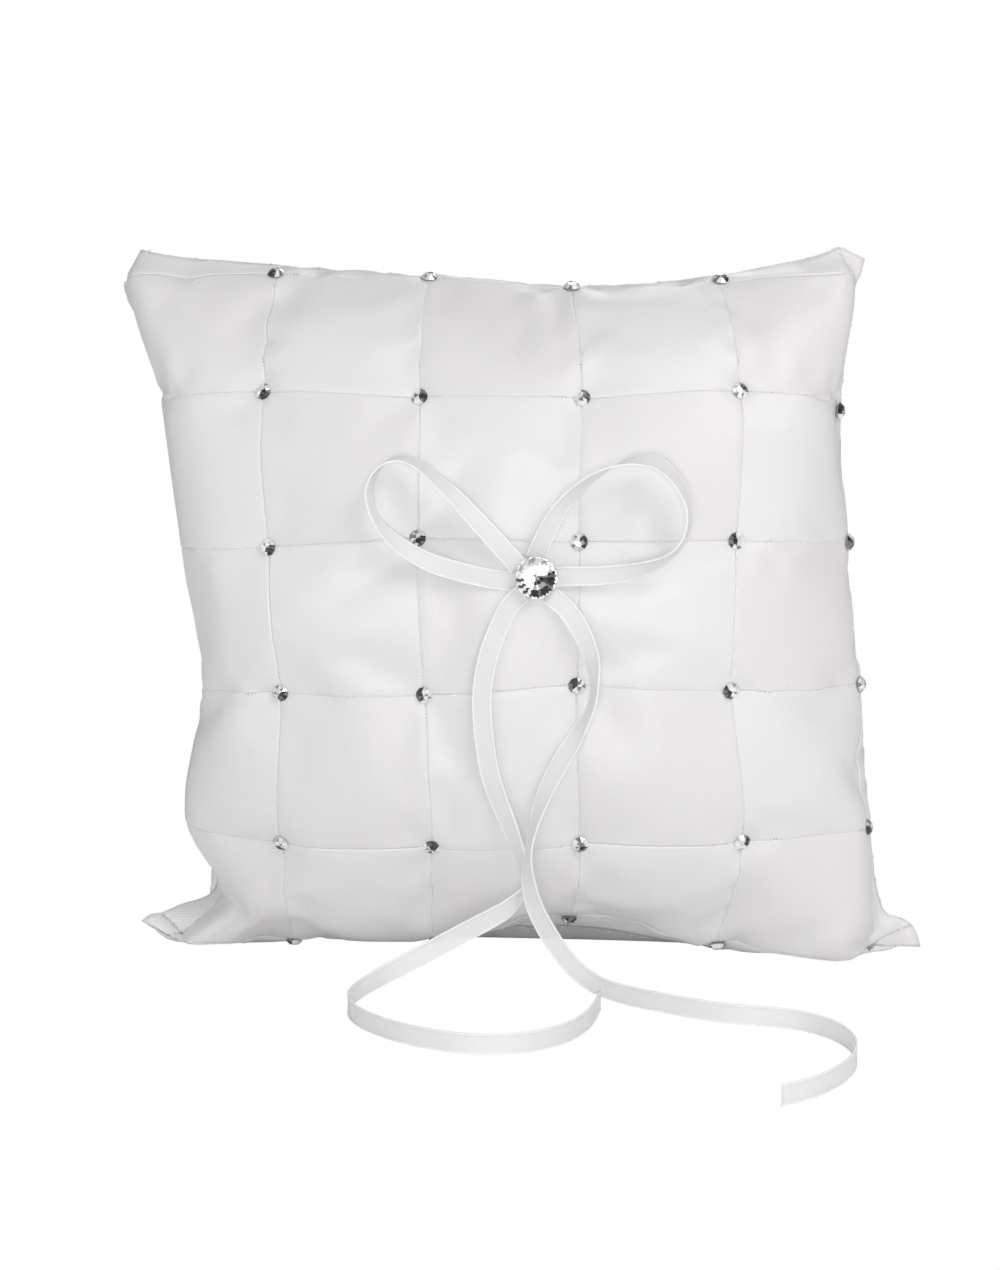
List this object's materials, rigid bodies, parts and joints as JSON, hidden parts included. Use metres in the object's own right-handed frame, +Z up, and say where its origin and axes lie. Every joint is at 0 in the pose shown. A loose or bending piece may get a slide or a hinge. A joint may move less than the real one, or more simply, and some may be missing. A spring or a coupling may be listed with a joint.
{
  "type": "ring bearer pillow",
  "caption": "Square satin ring cushion standing on one side, with a basket-weave ribbon front, crystals at the crossings and a narrow ribbon bow under a large crystal.",
  "frame": {"origin": "centre of the resting side, on the surface the cushion stands on", "axes": "+X to the viewer's right, +Y from the woven front to the plain back, +Z up"},
  "size_m": [0.1932, 0.1904, 0.1861],
  "materials": {
    "filling": "loose polyester fibre, matte white",
    "cotton_lining": "plain woven lining, matte white",
    "back_satin": "plain white satin, soft sheen",
    "satin_upright": "white satin ribbon with picot edges, sheen along the ribbon",
    "satin_cross": "white satin ribbon with picot edges, sheen along the ribbon",
    "bow_ribbon": "thin white satin ribbon, slightly see-through",
    "thread": "white polyester sewing thread",
    "crystal": "clear cut glass",
    "foil": "silver foil backing"
  },
  "bodies": {
    "root": {"filling": "filling", "front_lining": "cotton_lining", "back_panel": "back_satin", "ribbon_upright_1": "satin_upright", "ribbon_upright_2": "satin_upright", "ribbon_upright_3": "satin_upright", "ribbon_upright_4": "satin_upright", "ribbon_upright_5": "satin_upright", "ribbon_upright_6": "satin_upright", "ribbon_upright_7": "satin_upright", "ribbon_cross_1": "satin_cross", "ribbon_cross_2": "satin_cross", "ribbon_cross_3": "satin_cross", "ribbon_cross_4": "satin_cross", "ribbon_cross_5": "satin_cross", "ribbon_cross_6": "satin_cross", "ribbon_cross_7": "satin_cross", "seam_stitches": "thread", "closing_stitches": "thread", "crystal_row_1": "crystal", "crystal_row_2": "crystal", "crystal_row_3": "crystal", "crystal_row_4": "crystal", "crystal_row_5": "crystal", "crystal_row_6": "crystal", "bow_tack": "bow_ribbon", "bow_loop_left": "bow_ribbon", "bow_loop_right": "bow_ribbon", "bow_tail_left": "bow_ribbon", "bow_tail_right": "bow_ribbon", "crystal_foil": "foil", "centre_crystal": "crystal"}
  },
  "joints": []
}
